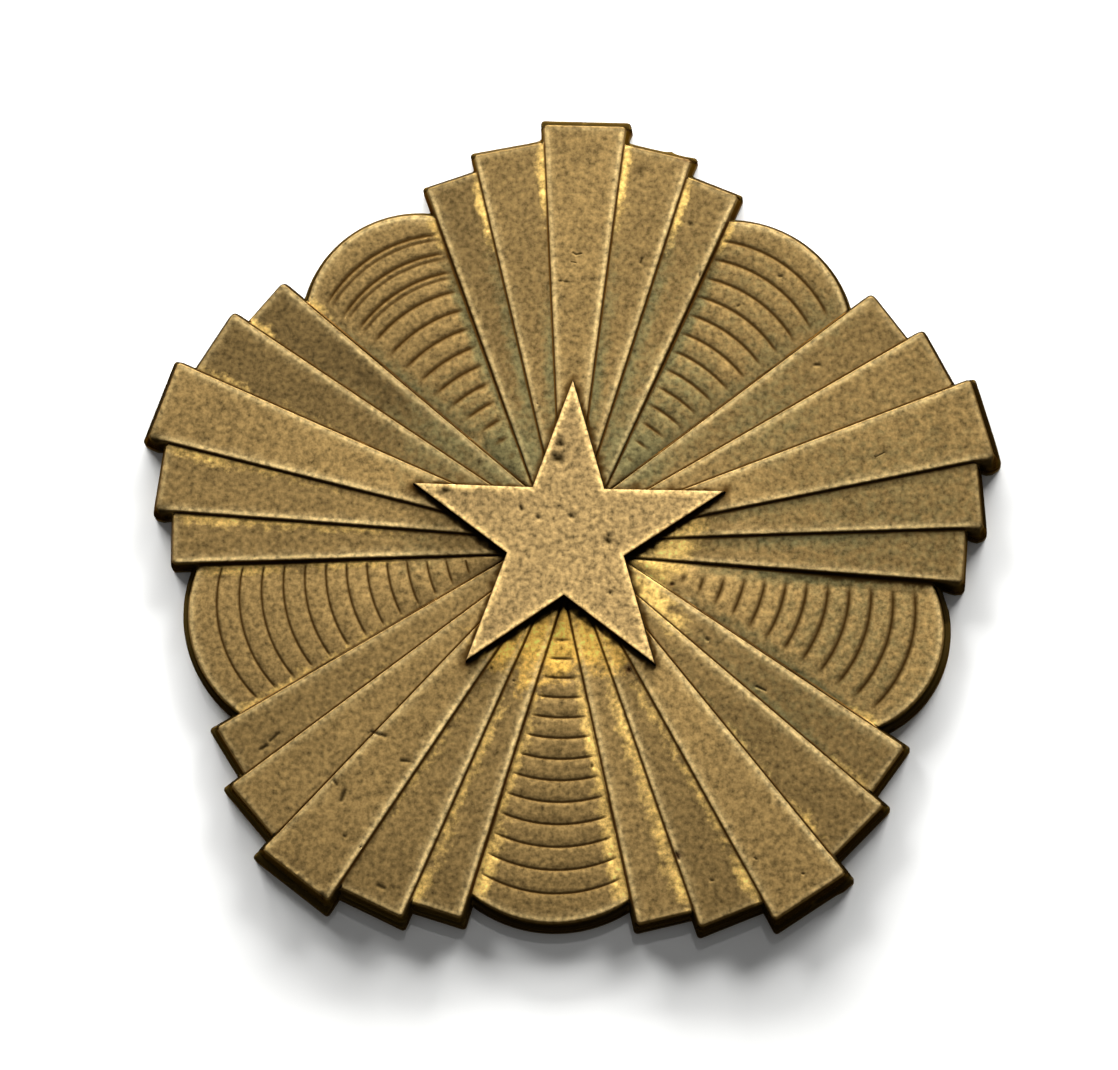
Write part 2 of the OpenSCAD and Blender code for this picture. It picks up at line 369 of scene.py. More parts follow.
# Ladders of offsets from a block's outline at which rows of points run: over the lip, down the wall and
# past its foot, then down the outer wall, and inside the trimmed edge. The last one is the star's
TOP_LADDER = (-0.45, -0.25, -0.13, -0.06, 0.0, 0.06)
FOOT_LADDER = (0.12, 0.2, 0.32)
OUTER_LADDER = (0.26, 0.41)
TRIM_LADDER = (-FLANGE_ROUND, -0.5 * FLANGE_ROUND, -0.15 * FLANGE_ROUND)
STAR_LADDER = (STAR_SKIRT, 0.03, 0.0, -0.05, -0.11, -0.2, -0.36)

# A distance that is farther than any in the badge
FAR = 99.0
# How far up the page a point is moved to see which way an edge looks
PROBE = 0.05
# An edge is sharp where the surface bends by more than this, in degrees
SHARP_BEND = 38
# A stride that makes one whole number of two
PAIR_STRIDE = 1000003


def turned(p, angle):
    """Plan points turned clockwise by an angle in degrees."""
    c = cos(radians(angle))
    s = sin(radians(angle))
    return np.stack([p[:, 0] * c + p[:, 1] * s, p[:, 1] * c - p[:, 0] * s], 1)


def eased(x, ease):
    """The positive part of x, with its bend at 0 rounded over a width of 2 * ease."""
    bend = np.clip((x + ease) / (2 * ease), 0, 1)
    return np.where(x > ease, x, ease * bend ** 2)


def bell(x, width):
    """1 at x = 0, and a smooth fall to both sides over a width."""
    return np.exp(-(x / width) ** 2)


def ramp(x, low, high):
    """0 below low, 1 above high, and a smooth rise between them."""
    t = np.clip((x - low) / (high - low), 0, 1)
    return t * t * (3 - 2 * t)


def uneven(p, size, seed):
    """Smooth noise between -1 and 1 at plan points, with bumps of a size in millimetres."""
    return np.array([noise.noise((x / size, y / size, seed * 7.3)) for x, y in p.tolist()])


def spaced(low, high, step):
    """Numbers from low to high, evenly spaced by no more than a step."""
    return np.linspace(low, high, max(int(ceil(abs(high - low) / step)), 1) + 1)


class RayBlock:
    """A flat ray of a group: side is -1 for the left, 1 for the right, and 0 for the main ray."""

    def __init__(self, ray, group, side, tone, extra_lean=0.0, extra_end=0.0):
        self.level = ray.level
        self.side = side
        self.angle = group * GROUP_TURN + GROUP_CUTS[group].turn
        self.flange = (GROUP_CUTS[group].flange, ray.flange + GROUP_CUTS[group].flange_end)
        self.dirt = GROUP_CUTS[group].dirt
        self.tone = tone
        lean = radians(ray.lean + extra_lean)
        edge = radians(ray.edge + extra_lean)
        along = np.array([sin(lean), cos(lean)])
        across = np.array([cos(lean), -sin(lean)])
        self.tip = (ray.end + extra_end) * along + ray.corner * across
        self.beside = np.array([cos(edge), -sin(edge)])
        self.beyond = along
        self.is_field = False

    def from_edges(self, p):
        """Signed distances to the lines of the ray's side and of its end, negative inside."""
        q = turned(p - CENTRE, -self.angle)
        q[:, 0] = q[:, 0] * self.side if self.side else abs(q[:, 0])
        return q, (q - self.tip) @ self.beside, (q - self.tip) @ self.beyond

    def distance(self, p, grown=(0.0, 0.0)):
        """Signed distance to the ray's outline, grown by a side and an end width, negative inside."""
        q, beside, beyond = self.from_edges(p)
        beside += CORNER_ROUND - grown[0]
        beyond += CORNER_ROUND - grown[1]
        if self.side:
            beside = np.maximum(beside, CORNER_ROUND - q[:, 0])
        inside = np.minimum(np.maximum(beside, beyond), 0)
        outside = np.hypot(np.maximum(beside, 0), np.maximum(beyond, 0))
        return np.maximum(inside + outside - CORNER_ROUND, -q[:, 1])

    def surface(self, p):
        """Height of the ray's flat top."""
        return np.full(len(p), self.level)

    def lines(self, p):
        """A ray has no arc lines."""
        return np.zeros(len(p))

    def end_share(self, p):
        """1 by the ray's end, 0 by its side."""
        beside, beyond = self.from_edges(p)[1:]
        return ramp(beyond - beside, -0.1, 0.1)

    def paths(self, offset, grown=(0.0, 0.0)):
        """Point rows along the grown outline moved outwards by an offset, one for each side that shows."""
        straight_end = min(offset, -CORNER_ROUND)
        side_run = spaced(-self.tip[1] + ROW_START, straight_end, STEP)
        end_run = spaced(straight_end, -self.tip[0], FINE_STEP)
        side_row = np.stack([np.full(len(side_run), offset), side_run], 1)
        end_row = np.stack([end_run, np.full(len(end_run), offset)], 1)
        rows = [side_row, end_row[1:]]
        if offset > -CORNER_ROUND:
            t = np.linspace(0, pi / 2, 6)[1:-1]
            radius = offset + CORNER_ROUND
            corner_row = np.stack([radius * np.cos(t), radius * np.sin(t)], 1) - CORNER_ROUND
            rows = [side_row, corner_row, end_row]
        away = np.linalg.inv(np.stack([self.beside, self.beyond]))
        q = self.tip + (np.concatenate(rows) + grown) @ away.T
        sides = [self.side] if self.side else [-1, 1]
        return [turned(q * (side, 1), self.angle) + CENTRE for side in sides]


class FieldBlock:
    """A low scalloped field between two groups, with its cut arc lines."""

    def __init__(self, group):
        self.cut = FIELD_CUTS[group]
        self.level = FIELD_LEVEL
        self.flange = (self.cut.flange, self.cut.flange)
        self.dirt = FIELD_DOWN_SHADE
        self.tone = TONES[group].field
        self.angle = (group + 0.5) * GROUP_TURN + self.cut.turn
        self.mid = self.cut.end - self.cut.round
        self.is_field = True

    def local(self, p):
        """Plan points in the field's own frame: the star's centre at the origin, the crown along +Y."""
        return turned(p - CENTRE, -self.angle)

    def distance(self, p, grown=(0.0, 0.0)):
        """Signed distance to the field's outline, grown by an end width, negative inside."""
        q = self.local(p)
        cap = np.hypot(q[:, 0], q[:, 1] - self.mid)
        gap = np.where(q[:, 1] > self.mid, cap, abs(q[:, 0])) - self.cut.round - grown[1]
        return np.maximum(gap, -q[:, 1])

    def half_width(self, q):
        """Half the width of the field between its neighbour rays, measured straight across its axis."""
        return np.maximum((q[:, 1] - FIELD_POINT) * tan(radians(GROUP_TURN / 2 - THIRD.edge)), 0.3)

    def surface(self, p):
        """Height of the field's domed top, with its arc lines."""
        q = self.local(p)
        across = np.clip(abs(q[:, 0]) / self.half_width(q), 0, 1)
        shape = FIELD_CROWN * (1 - across ** 3) + FIELD_RISE * (1 - ramp(q[:, 1], *RISE_RANGE))
        return self.level + shape - LINE_DEEP * self.lines(p)

    def lines(self, p):
        """How deep the arc lines are cut at plan points, from 0 to 1."""
        q = self.local(p)
        stop = np.where(q[:, 0] < 0, self.cut.stop_left, self.cut.stop_right)
        reach = ramp(self.half_width(q) - abs(q[:, 0]), 0.35 * stop, stop + 0.3)
        cut = np.zeros(len(p))
        for i in range(LINE_COUNT):
            away = self.line_distance(q, self.line_crown(i))
            cut = np.maximum(cut, bell(away, 0.5 * self.cut.line_w))
            if i < self.cut.doubled:
                away = self.line_distance(q, self.line_crown(i) - DOUBLE_STEP)
                cut = np.maximum(cut, 0.7 * bell(away, 0.4 * self.cut.line_w))
        return cut * reach

    def end_share(self, p):
        """A field's round edge is rubbed like a ray's side."""
        return np.zeros(len(p))

    def line_crown(self, i):
        """Distance of an arc line's crown from the centre; line 0 is the outermost."""
        return LINE_FIRST - i * LINE_PITCH + LINE_PITCH_LOSS * i * (i - 1) / 2

    def line_distance(self, q, crown):
        """Distance to the arc line with a given crown."""
        return abs(np.hypot(q[:, 0], q[:, 1] - crown + LINE_ROUND) - LINE_ROUND)

    def line_paths(self):
        """Point rows along the middle, flanks and lips of every arc line."""
        crowns = [self.line_crown(i) for i in range(LINE_COUNT)]
        crowns += [crown - DOUBLE_STEP for crown in crowns[:self.cut.doubled]]
        rows = []
        for crown in crowns:
            for side in (-0.9, -0.45, 0.0, 0.45, 0.9):
                radius = LINE_ROUND + side * self.cut.line_w
                reach = min(crown * 0.34 / LINE_ROUND, 0.9)
                t = spaced(-reach, reach, FINE_STEP / radius)
                arc = np.stack([radius * np.sin(t), crown - LINE_ROUND + radius * np.cos(t)], 1)
                arc = arc[abs(arc[:, 0]) < self.half_width(arc)]
                if len(arc) > 2:
                    rows.append(turned(arc, self.angle) + CENTRE)
        return rows

    def paths(self, offset, grown=(0.0, 0.0)):
        """One point row along the grown round edge moved outwards by an offset."""
        radius = self.cut.round + offset + grown[1]
        t = spaced(radians(-60), radians(60), FINE_STEP / radius)
        arc = np.stack([radius * np.sin(t), self.mid + radius * np.cos(t)], 1)
        return [turned(arc, self.angle) + CENTRE]


def die_blocks():
    """The blocks of the face, group by group: main ray, two second rays, two third rays and a field."""
    blocks = []
    for group, cut in enumerate(GROUP_CUTS):
        tone = TONES[group]
        blocks.append(RayBlock(MAIN, group, 0, tone.main, extra_end=cut.main_end))
        blocks.append(RayBlock(SECOND, group, -1, tone.second_left, cut.second_left))
        blocks.append(RayBlock(SECOND, group, 1, tone.second_right, cut.second_right))
        blocks.append(RayBlock(THIRD, group, -1, tone.third_left, cut.third_left))
        blocks.append(RayBlock(THIRD, group, 1, tone.third_right, cut.third_right))
        blocks.append(FieldBlock(group))
    return blocks


BLOCKS = die_blocks()
# One value for each block, then one for each group
LEVELS = np.array([block.level for block in BLOCKS])
TONE_OF = np.array([block.tone for block in BLOCKS])
DOWN_SHADE_OF = np.array([block.dirt for block in BLOCKS])
GROUP_OF = np.arange(len(BLOCKS)) // (len(BLOCKS) // len(GROUP_CUTS))
LEFT_WEAR_AND_LIGHT = np.array([wear_and_light.left for wear_and_light in EDGE_WEAR_AND_LIGHT])
RIGHT_WEAR_AND_LIGHT = np.array([wear_and_light.right for wear_and_light in EDGE_WEAR_AND_LIGHT])
FOOT_SHADOW = np.array([wear_and_light.foot_dirt for wear_and_light in EDGE_WEAR_AND_LIGHT])


def outline_distance(p):
    """Signed distance to the outline of the whole face, negative inside."""
    return np.min([block.distance(p) for block in BLOCKS], axis=0)


def dented(p, dents):
    """How far plan points lie inside the dents, from 0 to 1, and how deep they are pressed in."""
    share = np.zeros(len(p))
    deep = np.zeros(len(p))
    for dent in dents:
        start = np.array([dent.x, dent.y])
        run = np.array([dent.x_end, dent.y_end]) - start
        t = np.clip((p - start) @ run / max(run @ run, 1e-9), 0, 1)
        inside = bell(np.hypot(*(p - start - t[:, None] * run).T), dent.half_w)
        share = np.maximum(share, inside)
        deep = np.maximum(deep, dent.deep * inside)
    return share, deep


def dent_points(dents):
    """Plan points round the dents, close enough to show them."""
    rows = []
    for dent in dents:
        for t in spaced(0.0, 1.0, 0.15 / max(np.hypot(dent.x_end - dent.x, dent.y_end - dent.y), 0.15)):
            middle = (dent.x + t * (dent.x_end - dent.x), dent.y + t * (dent.y_end - dent.y))
            rows += [circle(middle, share * dent.half_w, 7) for share in (0.05, 0.7, 1.4, 2.2)]
    return np.concatenate(rows)


def burred(p):
    """Plan points, moved by the trimmed edge where it has a burr or a bent corner."""
    moved = p.copy()
    by_edge = ramp(trim_distance(p), -0.45, -0.1)
    for x, y, push_x, push_y, reach in BURRS:
        share = by_edge * bell(np.hypot(p[:, 0] - x, p[:, 1] - y), reach)
        moved += share[:, None] * (push_x, push_y)
    return moved


def trim_distance(p):
    """Signed distance to the trimmed edge of the flange, negative inside."""
    return np.min([block.distance(p, block.flange) for block in BLOCKS], axis=0)


def picked(table, block):
    """From a table with a row for each block, the value of the block named for each point."""
    return np.take_along_axis(table, block[None], 0)[0]


class Face:
    """The struck face at plan points: its height, and what lies round each point."""

    def __init__(self, p):
        self.p = p
        self.gaps = np.stack([block.distance(p) for block in BLOCKS])
        self.above = np.stack([block.distance(p + (0, PROBE)) for block in BLOCKS])
        tops = np.stack([block.surface(p) for block in BLOCKS])
        heights = tops - WALL_SLOPE * eased(self.gaps, LIP)
        # the block that shows, its level, and the distances to its outline and to the whole face's
        self.top = heights.argmax(0)
        self.level = picked(tops, self.top)
        self.from_edge = picked(self.gaps, self.top)
        self.outline = self.gaps.min(0)
        self.end_share = picked(np.stack([block.end_share(p) for block in BLOCKS]), self.top)
        self.lines = picked(np.stack([block.lines(p) for block in BLOCKS]), self.top)
        self.pitted, pressed = dented(p, FACE_DENTS)
        self.z = self.metal_height(heights.max(0)) - (pressed + self.knocked())
        # the nearest higher wall: how far away its foot is, and how high it rises
        rise = LEVELS[:, None] - self.level[None]
        foot = np.where(rise > 0.01, self.gaps - rise / WALL_SLOPE, FAR)
        wall = foot.argmin(0)
        self.foot = foot.min(0)
        self.foot_rise = LEVELS[wall] - self.level
        # how far that wall, the point's own edge and the outer wall look down the page
        outer = self.gaps.argmin(0)
        self.wall_down = np.clip(self.looks_down(wall), 0, 1)
        self.edge_down = self.looks_down(self.top)
        self.outer_down = np.clip(self.looks_down(outer), 0, 1)
        # the finish, painted shade and painted highlight that the tables give these blocks and groups
        self.tone = TONE_OF[self.top]
        self.dirt = DOWN_SHADE_OF[outer]
        self.foot_dirt = FOOT_SHADOW[GROUP_OF[wall]]
        self.wear_and_light = self.edge_wear_and_light(GROUP_OF[self.top])

    def metal_height(self, struck):
        """The struck face or the trimmed flange, whichever is higher, with a fillet between them."""
        over = np.clip((trim_distance(self.p) + FLANGE_ROUND) / FLANGE_ROUND, 0, 1)
        flange = FLANGE_LEVEL - FLANGE_ROUND * (1 - np.sqrt(1 - over ** 2))
        near = np.clip(1 - abs(struck - flange) / FOOT_FILLET, 0, 1)
        return np.maximum(struck, flange) + FOOT_FILLET / 4 * near ** 2

    def knocked(self):
        """How deep the nibbled edges are pressed in."""
        pressed = np.zeros(len(self.p))
        knocks = np.clip(uneven(self.p, 0.5, 8) + 0.2, 0, 1)
        for x, y, reach, deep in NIBBLED:
            here = knocks * bell(np.hypot(self.p[:, 0] - x, self.p[:, 1] - y), reach)
            pressed += 1.6 * deep * here * bell(self.from_edge, 0.6)
        return pressed

    def looks_down(self, block):
        """How far the edge of a block looks down the page at each point: 1 down, 0 sideways, -1 up."""
        return np.clip((picked(self.gaps, block) - picked(self.above, block)) / PROBE, -1, 1)

    def edge_wear_and_light(self, group):
        """How bright edges are rubbed and lit by painted highlight, by the side of the group that a point
        lies on.
        """
        leaning = np.degrees(np.arctan2(self.p[:, 0], self.p[:, 1] - CENTRE[1])) - group * GROUP_TURN
        on_left = (leaning + 180) % 360 < 180
        return np.where(on_left, LEFT_WEAR_AND_LIGHT[group], RIGHT_WEAR_AND_LIGHT[group])


def pair_key(first, second):
    """One whole number for each pair of whole numbers."""
    return first * PAIR_STRIDE + second


def cell_key(p, size):
    """A key for the square cell that each plan point lies in."""
    cell = np.floor(p / size).astype(np.int64)
    return pair_key(cell[:, 0], cell[:, 1])


class Plan:
    """Plan points and the lines between them, gathered before they are joined into triangles."""

    def __init__(self):
        self.points = []
        self.edges = []
        self.count = 0

    def chain(self, p, keep=None, closed=False):
        """A row of points whose neighbours are joined. Points that aren't kept break the row."""
        keep = np.ones(len(p), bool) if keep is None else keep
        index = np.where(keep, self.count + np.cumsum(keep) - 1, -1)
        last = len(p) if closed else len(p) - 1
        for i in range(last):
            j = (i + 1) % len(p)
            if keep[i] and keep[j]:
                self.edges.append((int(index[i]), int(index[j])))
        self.points.append(p[keep])
        self.count += int(keep.sum())

    def scatter(self, p, clear):
        """Loose points, left out where a point of the plan is already about that near."""
        if self.count:
            taken = cell_key(np.concatenate(self.points), clear)
            p = p[~np.isin(cell_key(p, clear), taken)]
        self.points.append(p)
        self.count += len(p)

    def triangles(self, inside):
        """Plan points and triangles, less the triangles whose middle isn't inside."""
        rows = np.concatenate(self.points).tolist()
        made = delaunay_2d_cdt([Vector(row) for row in rows], self.edges, [], 0, 1e-4, False)
        points = np.array([tuple(v) for v in made[0]])
        faces = np.array(made[2], np.int64)
        middle = points[faces].mean(1)
        faces = faces[inside(middle)]
        a, b, c = (points[faces[:, i]] for i in range(3))
        area = (b[:, 0] - a[:, 0]) * (c[:, 1] - a[:, 1]) - (b[:, 1] - a[:, 1]) * (c[:, 0] - a[:, 0])
        faces[area < 0] = faces[area < 0][:, ::-1]
        used = np.unique(faces)
        place = np.full(len(points), -1)
        place[used] = np.arange(len(used))
        return points[used], place[faces]


def rim_edges(faces):
    """Directed edges that only one triangle has."""
    edges = np.concatenate([faces[:, [0, 1]], faces[:, [1, 2]], faces[:, [2, 0]]])
    return edges[~np.isin(pair_key(*edges.T), pair_key(*edges[:, ::-1].T))]


def rim_rows(points, edges):
    """The rim's closed point rows, in the direction of its edges."""
    after = dict(edges.tolist())
    rows = []
    while after:
        start = next(iter(after))
        row = [start]
        step = after.pop(start)
        while step != start:
            row.append(step)
            step = after.pop(step)
        rows.append(points[row])
    return rows


def jittered(low, high, step, seed):
    """A loose grid of plan points over a square, each moved a little off its place."""
    rng = np.random.default_rng(seed)
    x, y = np.meshgrid(np.arange(low, high, step), np.arange(low, high, step))
    p = np.stack([x.ravel(), y.ravel()], 1)
    return p + rng.uniform(-0.3, 0.3, p.shape) * step


def circle(centre, radius, count=24):
    """Plan points round a circle."""
    t = np.arange(count) * 2 * pi / count
    return np.stack([centre[0] + radius * np.cos(t), centre[1] + radius * np.sin(t)], 1)


STEM_PLACES = [CENTRE + (side * STEM_X, 0.0) for side in (-1, 1)]


def in_stem_hole(p, radius):
    """Whether plan points lie within a radius of a stem's middle."""
    return np.min([np.hypot(*(p - place).T) for place in STEM_PLACES], axis=0) < radius


def make_mesh(name, verts, faces, marks=None):
    """A mesh object from points in millimetres, with sharp edges where the surface bends hard."""
    mesh = bpy.data.meshes.new(name)
    mesh.from_pydata((np.asarray(verts) * MM).tolist(), [], faces)
    mesh.update()
    for label, values in (marks or {}).items():
        layer = mesh.attributes.new(label, "FLOAT", "POINT")
        layer.data.foreach_set("value", np.asarray(values, np.float32))
    mesh.validate()
    mesh.shade_smooth()
    mesh.set_sharp_from_angle(angle=radians(SHARP_BEND))
    obj = bpy.data.objects.new(name, mesh)
    bpy.context.scene.collection.objects.link(obj)
    return obj


def add_wall_rows(plan, block):
    """Rows of points over a block's lip and down its walls, where no higher block hides them."""
    for offset in TOP_LADDER + FOOT_LADDER + OUTER_LADDER:
        for row in block.paths(offset):
            gaps = np.stack([other.distance(row) for other in BLOCKS])
            heights = LEVELS[:, None] - WALL_SLOPE * eased(gaps, LIP)
            keep = heights.max(0) < block.level + 0.02
            keep &= np.hypot(*(row - CENTRE).T) > CLEAR_CENTRE
            keep &= trim_distance(row) < -0.02
            if offset in OUTER_LADDER:
                keep &= outline_distance(row) > -0.1
            plan.chain(row, keep)


def add_trim_rows(plan, block):
    """Rows of points inside a block's trimmed edge, and one on it that runs on to cross its neighbours'."""
    for offset in TRIM_LADDER:
        for row in block.paths(offset, block.flange):
            plan.chain(row, trim_distance(row) > offset - 0.02)
    for row in block.paths(0.0, block.flange):
        plan.chain(row, trim_distance(row) > -0.3)


def add_line_rows(plan, field):
    """Rows of points along a field's arc lines, clear of the rays beside it."""
    for row in field.line_paths():
        gaps = np.stack([other.distance(row) for other in BLOCKS if not other.is_field])
        plan.chain(row, (outline_distance(row) < -0.3) & (gaps.min(0) > 0.15))


def plate_upper_plan():
    """Plan points and triangles of the plate's face."""
    plan = Plan()
    for block in BLOCKS:
        add_wall_rows(plan, block)
        add_trim_rows(plan, block)
        if block.is_field:
            add_line_rows(plan, block)
    for place in STEM_PLACES:
        plan.chain(circle(place, STEM_D / 2 + STEM_GAP), closed=True)
    fill = jittered(-PLATE_REACH, PLATE_REACH, FILL_STEP, 11)
    plan.scatter(dent_points(FACE_DENTS), 0.04)
    plan.scatter(fill[trim_distance(fill) < -0.1], FILL_STEP * 0.55)
    return plan.triangles(in_plate)


def in_plate(p):
    """Whether plan points lie on the plate, inside its trimmed edge and outside its stem holes."""
    return (trim_distance(p) < -0.002) & ~in_stem_hole(p, 0.99 * (STEM_D / 2 + STEM_GAP))


def hollow_distance(p):
    """Signed distance to the outline of the hollow back, negative inside."""
    return HOLLOW_SIZE * outline_distance((p - CENTRE) / HOLLOW_SIZE + CENTRE)


def plate_lower_plan(rims):
    """Plan points and triangles of the plate's back, inside the rim rows of its face."""
    plan = Plan()
    for row in rims:
        plan.chain(row, closed=True)
    for block in BLOCKS:
        for offset in (-RIM_ROUND, -0.5 * RIM_ROUND):
            for row in block.paths(offset, block.flange):
                plan.chain(row, trim_distance(row) > offset - 0.02)
        for offset in (0.1, 0.0, -0.1, -0.2, -HOLLOW_WALL, -HOLLOW_WALL - 0.12):
            for row in block.paths(offset):
                inner = (row - CENTRE) * HOLLOW_SIZE + CENTRE
                plan.chain(inner, outline_distance(row) > offset - 0.02)
    fill = jittered(-PLATE_REACH, PLATE_REACH, 1.1, 12)
    plan.scatter(fill[trim_distance(fill) < -0.3], 0.6)
    return plan.triangles(in_plate)


def lower_height(p):
    """Height of the plate's back: its rounded rim, and the hollow inside it."""
    inwards = -hollow_distance(p)
    hollow = HOLLOW_DEEP * ramp(inwards, 0.0, HOLLOW_WALL)
    over = np.clip((trim_distance(p) + RIM_ROUND) / RIM_ROUND, 0, 1)
    return hollow + RIM_ROUND * (1 - np.sqrt(1 - over ** 2))


def closed_solid(name, upper, lower):
    """A closed mesh from an upper and a lower surface whose rims run through the same plan points."""
    (top_p, top_f, top_z, top_marks), (low_p, low_f, low_z, low_marks) = upper, lower
    verts = np.concatenate([np.column_stack([top_p, top_z]), np.column_stack([low_p, low_z])])
    shift = len(top_p)
    faces = top_f.tolist() + (low_f[:, ::-1] + shift).tolist()
    below = {tuple(key): i + shift for i, key in enumerate(np.round(low_p, 3).tolist())}
    for i, j in rim_edges(top_f).tolist():
        a = below[tuple(np.round(top_p[i], 3).tolist())]
        b = below[tuple(np.round(top_p[j], 3).tolist())]
        faces.append((j, i, a, b))
    marks = {label: np.concatenate([top_marks[label], low_marks[label]]) for label in top_marks}
    return make_mesh(name, verts, faces, marks)


def patched(face, patches):
    """How strongly a table of patches shows at the points of the face, from 0 to 1."""
    found = np.zeros(len(face.p))
    for patch in patches:
        away = np.hypot(face.p[:, 0] - patch.x, face.p[:, 1] - patch.y)
        share = patch.strength * bell(away, patch.reach)
        if patch.strip:
            share *= 1 - ramp(face.foot, 0.3 * patch.strip, 1.6 * patch.strip)
        found = np.maximum(found, share)
    return found


def plate_marks(face):
    """The finish, painted shade and painted highlight at each point of the face, one mark for each layer of
    the material, from 0 to about 1.
    """
    from_centre = np.hypot(face.p[:, 0], face.p[:, 1] - CENTRE[1])
    # rubbed edges: partly worn metal, partly painted highlight
    wear_and_light_share = face.wear_and_light * (0.85 + 0.35 * uneven(face.p, 7.0, 3)) * (0.5 + 0.5 * ramp(from_centre, 7.0, 16.0))
    rubbed_and_highlight = bell(face.from_edge + 0.24, 0.18) * (face.from_edge < 0.1) * (1 - 0.6 * face.end_share) * wear_and_light_share
    rubbed_and_highlight *= ramp(face.foot, 0.05, 0.3)
    outer = ramp(face.outline, 0.0, 0.1)
    # toning and dirt lie on the walls between blocks and in a band at their feet; below walls that look
    # down, painted shadow widens the band
    looks_up = face.edge_down < -0.1
    inner_up = looks_up & (face.outline < -0.15)
    lip = np.where(inner_up, -0.08, -0.03)
    dirt_and_shadow_w = 0.11 + face.wall_down * (0.02 + face.foot_dirt * np.clip(face.foot_rise - 0.18, 0, 1))
    dirt_and_shadow_w *= 1 + 0.3 * uneven(face.p, 1.5, 6)
    on_wall = ramp(face.from_edge, lip, lip + 0.05)
    in_step = np.maximum(on_wall, 1 - ramp(face.foot, 0.5 * dirt_and_shadow_w, 1.4 * dirt_and_shadow_w)) * (1 - outer)
    # painted shade: black in the steps that look down, and on the lips that look up, where it hides their
    # shine
    step_down = np.where(face.from_edge > lip, face.edge_down, face.wall_down)
    painted_step_shade = np.maximum(0.85 * ramp(step_down, 0.45, 0.95), inner_up * ramp(face.from_edge, -0.09, -0.05))
    # painted shade on the outer walls, the darker the more they look down
    outer_down_shade = face.dirt * outer * ramp(face.outer_down, 0.1, 0.7)
    # painted shade darkens the trimmed edges that look up, where they would shine
    upper_rim_shade = looks_up * ramp(face.outline, -0.12, -0.04)
    # painted shadow under the star's lower edges, and dirt round the whole star
    painted_star_shadow = 1 - ramp(star_distance(face.p + (0, 0.42)), -0.08, 0.14)
    round_star = 1 - ramp(star_distance(face.p), 0.24, 0.42)
    bare = patched(face, BARE_PATCHES)
    return {
        "rubbed_and_highlight": rubbed_and_highlight,
        "grime": np.max([in_step * painted_step_shade, painted_star_shadow, 0.5 * round_star, outer_down_shade, 0.7 * upper_rim_shade,
                         patched(face, DIRT_AND_SHADOW_PATCHES), 0.7 * face.lines, 0.85 * face.pitted], axis=0),
        "brown": np.max([in_step * (1 - 0.45 * bare), round_star, face.lines], axis=0),
        "wall": outer,
        "tone": face.tone + 0.12 * uneven(face.p, 9.0, 4),
        "bare": bare,
        "gold": patched(face, GOLD_PATCHES),
        "red": patched(face, RED_PATCHES),
        "green": patched(face, GREEN_PATCHES),
    }


def plain_marks(count, **values):
    """The same finish at every point of a hidden surface."""
    labels = ("rubbed_and_highlight", "grime", "brown", "wall", "tone", "red", "bare", "gold", "green")
    return {label: np.full(count, values.get(label, 0.0)) for label in labels}


def build_plate():
    """The struck plate: its face with every knock and burr, and its plain hollow back."""
    p, faces = plate_upper_plan()
    face = Face(p)
    z = face.z + 0.012 * uneven(p, 4.0, 1) + 0.006 * uneven(p, 1.2, 2)
    low_p, low_f = plate_lower_plan(rim_rows(p, rim_edges(faces)))
    low_z = lower_height(low_p)
    plain = plain_marks(len(low_p), wall=0.6, tone=0.4)
    return closed_solid("struck_plate", (burred(p), faces, z, plate_marks(face)),
                        (burred(low_p), low_f, low_z, plain))


def star_corners(offset=0.0):
    """The star's corners moved outwards by an offset, clockwise from the top tip."""
    rows = []
    for group, (tip, notch) in enumerate(zip(STAR_TIPS, STAR_NOTCHES)):
        rows.append(turned(np.array([[0.0, tip]]), group * GROUP_TURN)[0])
        rows.append(turned(np.array([[0.0, notch]]), (group + 0.5) * GROUP_TURN)[0])
    corners = np.array(rows)
    if not offset:
        return corners + CENTRE
    ahead = np.roll(corners, -1, 0) - corners
    ahead /= np.hypot(*ahead.T)[:, None]
    out = np.stack([-ahead[:, 1], ahead[:, 0]], 1)
    before = np.roll(out, 1, 0)
    bend = 1 + (out * before).sum(1)
    return corners + (out + before) * (offset / bend)[:, None] + CENTRE


def star_distance(p):
    """Signed distance to the star's outline, negative inside."""
    corners = star_corners()
    best = np.full(len(p), FAR)
    crossings = np.zeros(len(p), int)
    for a, b in zip(corners, np.roll(corners, -1, 0)):
        along = b - a
        t = np.clip((p - a) @ along / (along @ along), 0, 1)
        best = np.minimum(best, np.hypot(*(p - a - t[:, None] * along).T))
        spans = (a[1] > p[:, 1]) != (b[1] > p[:, 1])
        height = np.where(abs(along[1]) > 1e-9, along[1], 1e-9)
        cross_x = a[0] + (p[:, 1] - a[1]) * along[0] / height
        crossings += spans & (p[:, 0] < cross_x)
    return np.where(crossings % 2 == 1, -best, best)


def sampled(corners, step):
    """Points along a closed row of corners."""
    rows = []
    for a, b in zip(corners, np.roll(corners, -1, 0)):
        t = spaced(0, 1, step / np.hypot(*(b - a)))[:-1]
        rows.append(a + t[:, None] * (b - a))
    return np.concatenate(rows)


def on_star(p):
    """Whether plan points lie on the star, out to its skirt."""
    return star_distance(p) < STAR_SKIRT - 0.003


